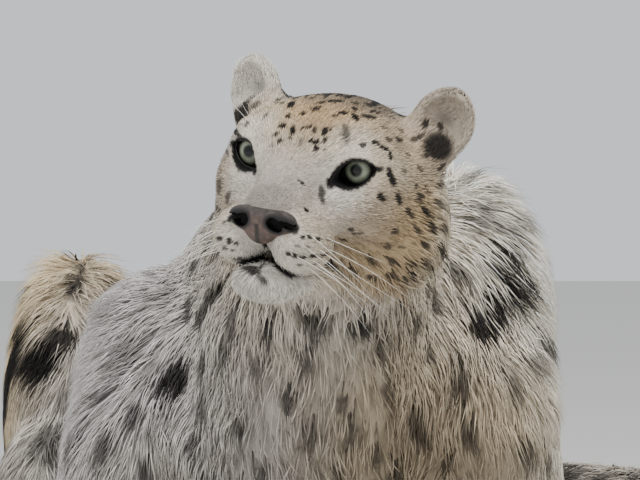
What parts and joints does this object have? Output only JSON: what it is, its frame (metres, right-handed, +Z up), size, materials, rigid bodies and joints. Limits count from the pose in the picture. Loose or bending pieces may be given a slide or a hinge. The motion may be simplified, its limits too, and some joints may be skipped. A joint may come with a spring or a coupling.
{
  "type": "snow leopard figure",
  "caption": "Life-size still figure of a snow leopard lying on its belly with its head raised and turned, tail curled round one hind leg.",
  "frame": {"origin": "on the floor, under the middle of the bounding box", "axes": "+Y from the head towards the tail, +Z up, +X towards the animal's left"},
  "size_m": [0.5698, 1.2658, 0.4117],
  "materials": {
    "face_coat": "short fur, grey-tan with small black spots",
    "pale_coat": "short cream-white fur",
    "body_coat": "long dense smoky-grey fur with dark rosettes",
    "leg_coat": "dense grey-cream fur with solid dark spots",
    "tail_coat": "very thick long fur with dark rings",
    "nose_leather": "moist dark brown-pink skin",
    "eye": "wet, glassy grey-green"
  },
  "bodies": {
    "root": {"head": "face_coat", "muzzle": "pale_coat", "nose": "nose_leather", "lower_jaw": "pale_coat", "ear_left": "face_coat", "ear_right": "face_coat", "eye_left": "eye", "eye_right": "eye", "neck": "body_coat", "chest": "body_coat", "belly": "body_coat", "hips": "body_coat", "upper_arm_left": "leg_coat", "forearm_left": "leg_coat", "forepaw_left": "leg_coat", "thigh_left": "leg_coat", "hind_foot_left": "leg_coat", "hind_paw_left": "leg_coat", "upper_arm_right": "leg_coat", "forearm_right": "leg_coat", "forepaw_right": "leg_coat", "thigh_right": "leg_coat", "hind_foot_right": "leg_coat", "hind_paw_right": "leg_coat", "tail_1": "tail_coat", "tail_2": "tail_coat", "tail_3": "tail_coat", "tail_4": "tail_coat", "tail_5": "tail_coat"}
  },
  "joints": []
}
